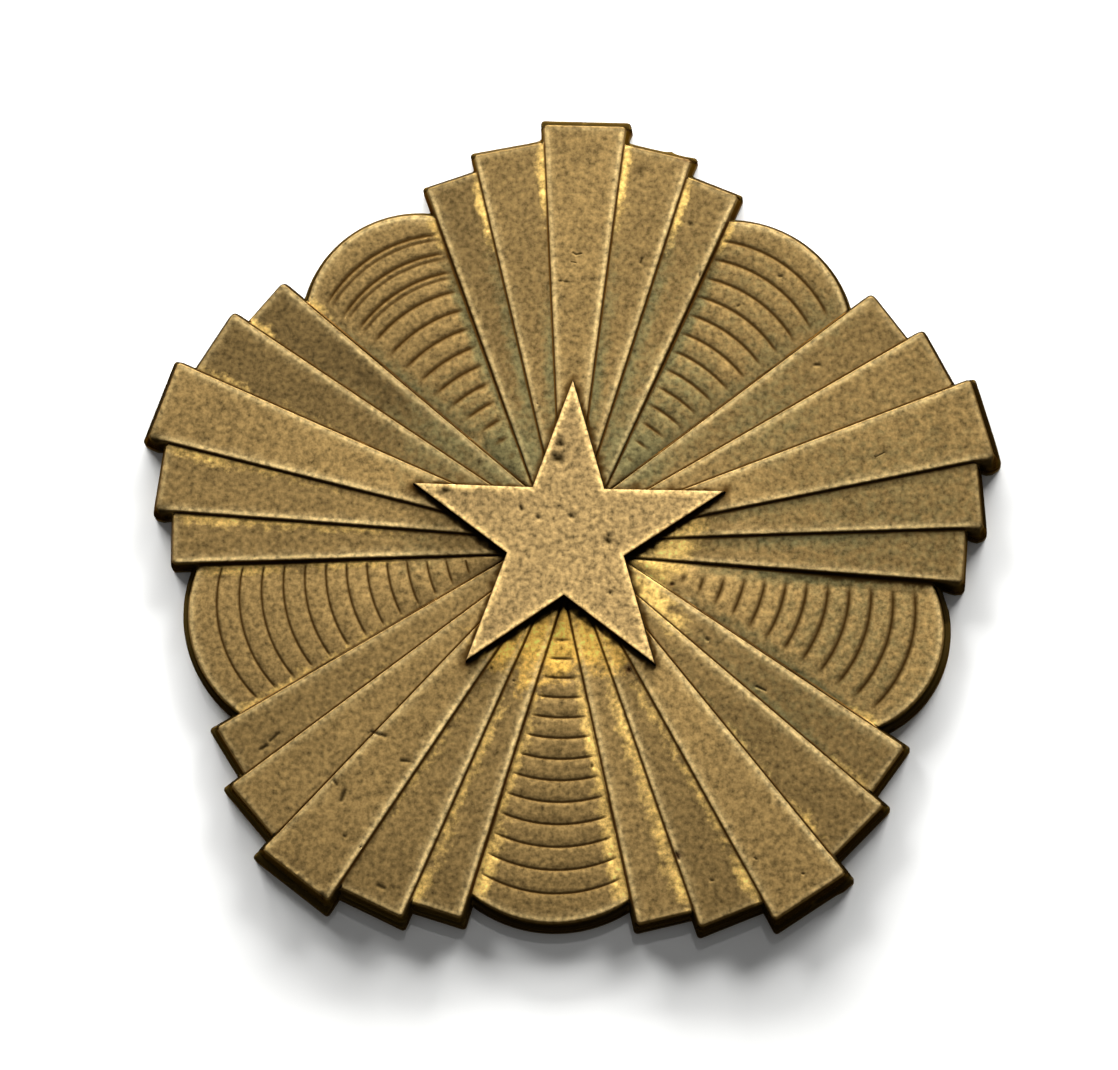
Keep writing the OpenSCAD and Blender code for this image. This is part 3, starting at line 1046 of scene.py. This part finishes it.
def star_upper():
    """Plan points, triangles, heights and finish of the star's face."""
    plan = Plan()
    for offset in STAR_LADDER:
        plan.chain(sampled(star_corners(offset), 0.25), closed=True)
    plan.scatter(dent_points(STAR_DENTS), 0.04)
    fill = jittered(-STAR_REACH, STAR_REACH, 0.35, 21) + CENTRE
    plan.scatter(fill[star_distance(fill) < -0.1], 0.2)
    p, faces = plan.triangles(on_star)
    from_edge = star_distance(p)
    pitted, pressed = dented(p, STAR_DENTS)
    z = STAR_TOP - STAR_SLOPE * eased(from_edge + 0.02, 0.045) + 0.012 * uneven(p, 3.5, 5) - pressed
    marks = plain_marks(len(p))
    # a little lighter towards its lower right arm
    marks["tone"] = 0.5 + 0.012 * p[:, 0] - 0.017 * p[:, 1] + 0.12 * uneven(p, 8.0, 9)
    marks["rubbed_and_highlight"] = bell(from_edge + 0.2, 0.17)
    marks["grime"] = np.maximum(ramp(from_edge, -0.06, -0.01), pitted)
    return p, faces, z, marks


def star_lower(rims):
    """Plan points, triangles, heights and finish of the star's flat back, open where the stems start."""
    plan = Plan()
    for row in rims:
        plan.chain(row, closed=True)
    for place in STEM_PLACES:
        plan.chain(circle(place, STEM_D / 2), closed=True)
    fill = jittered(-STAR_REACH, STAR_REACH, 1.0, 22) + CENTRE
    plan.scatter(fill[(star_distance(fill) < -0.4) & ~in_stem_hole(fill, STEM_D / 2 + 0.2)], 0.5)
    p, faces = plan.triangles(lambda q: on_star(q) & ~in_stem_hole(q, 0.99 * STEM_D / 2))
    return p, faces, np.full(len(p), STAR_SEAT), plain_marks(len(p), grime=0.8, tone=0.5)


def build_star():
    """The star that lies on the main rays, with its two riveted stems."""
    upper = star_upper()
    lower = star_lower(rim_rows(upper[0], rim_edges(upper[1])))
    obj = closed_solid("applied_star", upper, lower)
    add_stems(obj.data)
    return obj


def add_stems(mesh):
    """Closes the star's two open rings with stems that end in riveted heads."""
    # radius and height of each ring, from the end of the stem round its head to the head's middle
    form = (
        (STEM_D / 2, HEAD_HIGH + 0.08),
        (STEM_D / 2 + 0.08, HEAD_HIGH),
        (HEAD_D / 2 - 0.1, HEAD_HIGH),
        (HEAD_D / 2, HEAD_HIGH - 0.1),
        (HEAD_D / 2, BACK_LOW + 0.18),
        (HEAD_D / 2 - 0.16, BACK_LOW + 0.03),
        (HEAD_D / 4, BACK_LOW),
    )
    work = bmesh.new()
    work.from_mesh(mesh)
    for place in STEM_PLACES:
        middle = Vector((*place, 0.0)) * MM
        open_edges = [edge for edge in work.edges if edge.is_boundary
                      and all((v.co - middle).xy.length < STEM_D * MM for v in edge.verts)]
        for radius, height in form:
            made = bmesh.ops.extrude_edge_only(work, edges=open_edges)["geom"]
            for v in (item for item in made if isinstance(item, bmesh.types.BMVert)):
                away = (v.co - middle).xy.normalized() * radius * MM
                v.co = (middle.x + away.x, middle.y + away.y, height * MM)
            open_edges = [item for item in made if isinstance(item, bmesh.types.BMEdge)]
        bmesh.ops.contextual_create(work, geom=open_edges)
    bmesh.ops.recalc_face_normals(work, faces=work.faces)
    # on so flat a piece the faces can all come out looking inwards
    if work.calc_volume(signed=True) < 0:
        bmesh.ops.reverse_faces(work, faces=work.faces)
    work.to_mesh(mesh)
    work.free()
    mesh.shade_smooth()
    mesh.set_sharp_from_angle(angle=radians(SHARP_BEND))


def bar_distance(p):
    """Signed distance to the outline of the pin's bar, with round corners, negative inside."""
    q = abs(p - CENTRE) - (BAR_HALF_L - BAR_ROUND, BAR_HALF_W - BAR_ROUND)
    return np.hypot(*np.maximum(q, 0).T) + np.minimum(q.max(1), 0) - BAR_ROUND


def soft_block(x_low, x_high, profile):
    """Points and faces of a block along x with a profile in y and z, its edges softened."""
    work = bmesh.new()
    ends = [[work.verts.new((x, CENTRE[1] + y, z)) for y, z in profile] for x in (x_low, x_high)]
    work.faces.new(ends[0])
    work.faces.new(ends[1][::-1])
    for i in range(len(profile)):
        j = (i + 1) % len(profile)
        work.faces.new((ends[0][i], ends[1][i], ends[1][j], ends[0][j]))
    bmesh.ops.recalc_face_normals(work, faces=work.faces)
    bmesh.ops.bevel(work, geom=work.edges[:], offset=SOFT_EDGE, segments=3, profile=0.5, affect="EDGES")
    work.verts.index_update()
    verts = [tuple(v.co) for v in work.verts]
    faces = [tuple(v.index for v in face.verts) for face in work.faces]
    work.free()
    return verts, faces


def pin_wire():
    """Points and faces of the wire: it starts inside the hinge block, and its point passes the catch."""
    low = BLOCK_L / 2 - BAR_HALF_L
    # distance along the bar and radius of each ring
    form = [(low, WIRE_R)]
    form += [(x, WIRE_R) for x in spaced(low + 1, BAR_HALF_L, 2.0)]
    form += [(BAR_HALF_L + past, radius) for past, radius in ((0.6, 0.25), (1.1, 0.17), (1.5, 0.08))]
    tip = (BAR_HALF_L + 1.58, CENTRE[1] + WIRE_Y, WIRE_Z)
    count = 20
    t = np.arange(count) * 2 * pi / count
    verts = []
    for x, radius in form:
        across = CENTRE[1] + WIRE_Y + radius * np.cos(t)
        verts += np.column_stack([np.full(count, x), across, WIRE_Z + radius * np.sin(t)]).tolist()
    flat_end = tuple(range(count))[::-1]
    faces = [flat_end]
    for row in range(len(form) - 1):
        for i in range(count):
            j = (i + 1) % count
            faces.append((row * count + i, row * count + j, (row + 1) * count + j, (row + 1) * count + i))
    last = len(verts) - count
    faces += [(last + i, last + (i + 1) % count, len(verts)) for i in range(count)]
    return [*verts, tip], faces


def pin_bar():
    """The flat bar with round corners and two holes for the star's stems."""
    plan = Plan()
    corners = []
    for side_x, side_y, start in ((1, 1, 0), (-1, 1, 90), (-1, -1, 180), (1, -1, 270)):
        middle = CENTRE + (side_x * (BAR_HALF_L - BAR_ROUND), side_y * (BAR_HALF_W - BAR_ROUND))
        t = np.radians(np.linspace(start, start + 90, 9))
        corners.append(middle + BAR_ROUND * np.stack([np.cos(t), np.sin(t)], 1))
    outline = np.concatenate(corners) - CENTRE
    for inset in (0.0, 0.03, 0.08):
        plan.chain(CENTRE + outline * (1 - inset / BAR_HALF_L, 1 - inset / BAR_HALF_W), closed=True)
    hole_r = STEM_D / 2 + STEM_GAP
    for place in STEM_PLACES:
        plan.chain(circle(place, hole_r), closed=True)
    fill = jittered(-PIN_REACH, PIN_REACH, 0.9, 31) + CENTRE
    plan.scatter(fill[bar_distance(fill) < -0.3], 0.5)
    p, faces = plan.triangles(lambda q: (bar_distance(q) < -0.002) & ~in_stem_hole(q, 0.99 * hole_r))
    over = np.clip((bar_distance(p) + SOFT_EDGE) / SOFT_EDGE, 0, 1)
    fall = SOFT_EDGE * (1 - np.sqrt(1 - over ** 2))
    upper = (p, faces, PIN_TOP - fall, {})
    lower = (p, faces, PIN_TOP - BAR_T + fall, {})
    return closed_solid("plated_pin", upper, lower)


def build_pin():
    """The hidden brooch pin as one plain piece: bar, hinge block, catch with its slot, and wire."""
    pin = pin_bar()
    low_side = (BLOCK_SIDE, BACK_LOW)
    high_side = [(BAR_HALF_W, BACK_LOW), (BAR_HALF_W, PIN_TOP), (BLOCK_SIDE, PIN_TOP)]
    slot = [(WIRE_Y - SLOT_HALF, BACK_LOW), (WIRE_Y - SLOT_HALF, SLOT_TOP),
            (WIRE_Y + SLOT_HALF, SLOT_TOP), (WIRE_Y + SLOT_HALF, BACK_LOW)]
    hinge = soft_block(-BAR_HALF_L, BLOCK_L - BAR_HALF_L, [low_side, *high_side])
    catch = soft_block(BAR_HALF_L - BLOCK_L, BAR_HALF_L, [low_side, *slot, *high_side])
    work = bmesh.new()
    work.from_mesh(pin.data)
    for name, (verts, faces) in (("hinge", hinge), ("catch", catch), ("wire", pin_wire())):
        shell = make_mesh(name, verts, faces)
        work.from_mesh(shell.data)
        bpy.data.objects.remove(shell)
    work.to_mesh(pin.data)
    work.free()
    pin.data.shade_smooth()
    pin.data.set_sharp_from_angle(angle=radians(SHARP_BEND))
    return pin


def linear(hex_colour, times=1.0):
    """A colour given as sRGB hex, in the linear light that shaders use, made so many times as bright."""
    parts = [int(hex_colour[i:i + 2], 16) / 255 for i in (1, 3, 5)]
    return [times * (c / 12.92 if c <= 0.04045 else ((c + 0.055) / 1.055) ** 2.4) for c in parts] + [1.0]


def add(tree, kind, inputs=None, **settings):
    """Adds a shader node with its settings, and sets or links its inputs."""
    made = tree.nodes.new("ShaderNode" + kind)
    for name, value in settings.items():
        setattr(made, name, value)
    for name, value in (inputs or {}).items():
        if isinstance(value, bpy.types.NodeSocket):
            tree.links.new(value, made.inputs[name])
        else:
            made.inputs[name].default_value = value
    return made


# Layers of the struck finish, from the metal out: name of the mark that lays each one on, and its colour.
# The grain breaks up the edges of the metal's own layers
METAL_LAYERS = (("green", "#6E6541"), ("bare", "#F6CC74"), ("gold", "#FFCB62"))
# The grime is dirt, and also painted shade in the steps and on edges that look up, and painted shadow under
# the star
DIRT_AND_SHADE_LAYERS = (("red", "#4A1A10"), ("brown", "#5A3C14"), ("wall", "#463718"), ("grime", "#241A0A"))
# The dull dirt on the walls, and the grime with the painted shade it carries, reflect little at a flat
# angle
FLAT_ANGLE_LAYERS = (("wall", "#BCA987"), ("grime", "#4A3A22"))


def patinated_bronze(name, body, sheen, grain):
    """Jewellers' bronze, struck in a die, sand-blasted and toned brown with liver of sulphur.

    It gives the eye a dull golden brown that is speckled all over, is pale on the rubbed edges, whose wear
    carries painted highlight, and nearly black in the steps, whose dirt carries painted shade. The body
    colour is the toned metal half-way between its darkest and its lightest patina, the sheen is the colour
    of rubbed edges and their painted highlight, and the grain is how much darker and lighter than the body
    its speckles are.
    """
    material = bpy.data.materials.new(name)
    material.use_nodes = True
    tree = material.node_tree
    shader = tree.nodes["Principled BSDF"]
    place = add(tree, "TexCoord").outputs["Object"]

    def mark(label):
        """The value that the mesh stores under a label at each of its points."""
        return add(tree, "Attribute", attribute_name=label).outputs["Fac"]

    def noise_map(size, low, high):
        """Noise with a grain size in millimetres, spread to run from 0 at low to 1 at high."""
        inputs = {"Vector": place, "Scale": 1 / (size * MM), "Detail": 3.0, "Roughness": 0.6}
        value = add(tree, "TexNoise", inputs).outputs["Fac"]
        spread = {"Value": value, "From Min": low, "From Max": high}
        return add(tree, "MapRange", spread).outputs["Result"]

    def mixed(share, under, over):
        """One colour laid over another by a share."""
        made = add(tree, "Mix", {"Factor": share, "A": under, "B": over}, data_type="RGBA")
        return made.outputs["Result"]

    def ragged(label):
        """A mark whose edge is broken up by the grain."""
        made = add(tree, "Math", {0: mark(label), 1: 1.6}, operation="MULTIPLY").outputs["Value"]
        made = add(tree, "Math", {0: grit, 1: -0.6, 2: made}, operation="MULTIPLY_ADD", use_clamp=True)
        return made.outputs["Value"]

    # the toning's speckles are 0.4 mm and its clouds 4 mm; the pits of the blasting are too fine to show
    speckle = noise_map(0.4, 0.23, 0.77)
    grit = noise_map(0.6, 0.35, 0.65)
    cloud = noise_map(4.0, 0.3, 0.7)
    toned = {0: cloud, 1: 0.12, 2: mark("tone")}
    toned = add(tree, "Math", toned, operation="MULTIPLY_ADD").outputs["Value"]
    base = mixed(toned, linear(body, 0.44), linear(body, 1.44))
    for label, colour in METAL_LAYERS:
        base = mixed(ragged(label), base, linear(colour))
    base = mixed(mark("rubbed_and_highlight"), base, linear(sheen))
    speckles = mixed(speckle, linear("#FFFFFF", 1 - grain), linear("#FFFFFF", 1 + grain))
    inputs = {"Factor": 1.0, "A": base, "B": speckles}
    base = add(tree, "Mix", inputs, data_type="RGBA", blend_type="MULTIPLY").outputs["Result"]
    for label, colour in DIRT_AND_SHADE_LAYERS:
        base = mixed(mark(label), base, linear(colour))
    tree.links.new(base, shader.inputs["Base Color"])
    edge_tint = linear("#FFFFFF")
    for label, colour in FLAT_ANGLE_LAYERS:
        edge_tint = mixed(mark(label), edge_tint, linear(colour))
    tree.links.new(edge_tint, shader.inputs["Specular Tint"])
    shader.inputs["Metallic"].default_value = 1.0
    shader.inputs["Roughness"].default_value = 0.5
    bump = add(tree, "Bump", {"Height": speckle, "Strength": 0.25, "Distance": 0.03 * MM})
    tree.links.new(bump.outputs["Normal"], shader.inputs["Normal"])
    return material


def plated_steel():
    """Nickel-plated steel strip and wire, rolled, stamped and bent.

    It gives the eye a grey shine that has gone dull and a little stained, with fine lines along the strip.
    """
    material = bpy.data.materials.new("nickel_plated_steel")
    material.use_nodes = True
    tree = material.node_tree
    shader = tree.nodes["Principled BSDF"]
    place = add(tree, "TexCoord").outputs["Object"]
    stain = add(tree, "TexNoise", {"Vector": place, "Scale": 1 / (2.5 * MM), "Detail": 4.0}).outputs["Fac"]
    drawn = add(tree, "Mapping", {"Vector": place, "Scale": (0.1, 1.0, 1.0)}).outputs["Vector"]
    # rolling lines are about 0.02 mm apart, too fine to show, so they are drawn 0.15 mm apart
    lines = {"Vector": drawn, "Scale": 1 / (0.15 * MM), "Detail": 2.0}
    lines = add(tree, "TexNoise", lines).outputs["Fac"]
    colours = {"Factor": stain, "A": linear("#6F6A5E"), "B": linear("#C6C2B6")}
    base = add(tree, "Mix", colours, data_type="RGBA").outputs["Result"]
    tree.links.new(base, shader.inputs["Base Color"])
    shader.inputs["Metallic"].default_value = 1.0
    dull = add(tree, "MapRange", {"Value": lines, "To Min": 0.28, "To Max": 0.5}).outputs["Result"]
    tree.links.new(dull, shader.inputs["Roughness"])
    bump = add(tree, "Bump", {"Height": lines, "Strength": 0.2, "Distance": 0.01 * MM})
    tree.links.new(bump.outputs["Normal"], shader.inputs["Normal"])
    return material


def white_paper():
    """Smooth matt printing paper: it gives the eye no shine, only the badge's soft shadow."""
    material = bpy.data.materials.new("white_paper")
    material.use_nodes = True
    shader = material.node_tree.nodes["Principled BSDF"]
    shader.inputs["Base Color"].default_value = linear("#F2F2F0")
    shader.inputs["Roughness"].default_value = 0.9
    return material


plate = build_plate()
plate.data.materials.append(patinated_bronze("patinated_bronze", "#8E7446", "#DFC285", 0.72))
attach(plate, "root")
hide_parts("badge_plate")

star = build_star()
star.data.materials.append(patinated_bronze("rubbed_bronze", "#9F8455", "#EBC682", 0.84))
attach(star, "root")
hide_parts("star")

pin = build_pin()
pin.data.materials.append(plated_steel())
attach(pin, "root")
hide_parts("brooch_pin")


# Camera: the photograph's viewing angle, found from the badge's own five-fold plan
PHOTO_W = 1118
FOCAL_PX = 5200
SENSOR_MM = 36.0
VIEW_AZIMUTH = 13.7
VIEW_ELEVATION = 75.47
VIEW_ROLL = 11.7
VIEW_DISTANCE = 396.25
AIM = Vector((-0.6, -1.5, PLATE_TOP))


def add_camera():
    """The camera, aimed from the viewing angle and rolled as it was held."""
    data = bpy.data.cameras.new("camera")
    data.sensor_width = SENSOR_MM
    data.lens = FOCAL_PX * SENSOR_MM / PHOTO_W
    data.clip_start = 0.01
    obj = bpy.data.objects.new("camera", data)
    bpy.context.scene.collection.objects.link(obj)
    facing = (Matrix.Rotation(radians(VIEW_AZIMUTH), 4, "Z")
              @ Matrix.Rotation(radians(90 - VIEW_ELEVATION), 4, "X")
              @ Matrix.Rotation(radians(-VIEW_ROLL), 4, "Z"))
    away = facing.to_3x3() @ Vector((0, 0, VIEW_DISTANCE))
    obj.matrix_world = Matrix.Translation((AIM + away) * MM) @ facing
    bpy.context.scene.camera = obj


def add_lamp(name, place, size, power):
    """A soft box of a width and height, in millimetres, that looks at the badge."""
    data = bpy.data.lights.new(name, "AREA")
    data.shape = "RECTANGLE"
    data.energy = power
    data.size = size[0] * MM
    data.size_y = size[1] * MM
    obj = bpy.data.objects.new(name, data)
    bpy.context.scene.collection.objects.link(obj)
    obj.location = Vector(place) * MM
    obj.rotation_euler = Vector(place).to_track_quat("Z", "Y").to_euler()
    obj.visible_camera = False


def add_spot(name, place, aim, reach, power):
    """A soft spotlight, places and reach in millimetres, that fades out from its aim."""
    data = bpy.data.lights.new(name, "SPOT")
    data.energy = power
    data.shadow_soft_size = 20 * MM
    away = Vector(place) - Vector(aim)
    data.spot_size = 2 * atan2(reach, away.length)
    data.spot_blend = 1.0
    obj = bpy.data.objects.new(name, data)
    bpy.context.scene.collection.objects.link(obj)
    obj.location = Vector(place) * MM
    obj.rotation_euler = away.to_track_quat("Z", "Y").to_euler()


def add_floor():
    """A sheet of paper far larger than the picture."""
    half = 4000
    corners = [(-half, -half, 0), (half, -half, 0), (half, half, 0), (-half, half, 0)]
    floor = make_mesh("floor", corners, [(0, 1, 2, 3)])
    floor.data.materials.append(white_paper())


def add_world(colour, strength):
    """Even light from all round."""
    world = bpy.data.worlds.new("room")
    world.use_nodes = True
    background = world.node_tree.nodes["Background"]
    background.inputs["Color"].default_value = linear(colour)
    background.inputs["Strength"].default_value = strength
    bpy.context.scene.world = world


add_camera()
add_floor()
add_world("#FFFFFF", 0.14)
# Three soft lamps beyond the top of the picture, one of them low, and a reading lamp aimed at the middle
add_lamp("upper_right_lamp", (180, 320, 140), (170, 110), 1.95)
add_lamp("upper_left_lamp", (-210, 290, 145), (170, 110), 1.7)
add_lamp("top_lamp", (-20, 330, 85), (300, 40), 3.4)
add_spot("reading_lamp", (40, 230, 330), (2, -1, 2), 28, 2.0)
bpy.context.scene.view_settings.view_transform = "Standard"
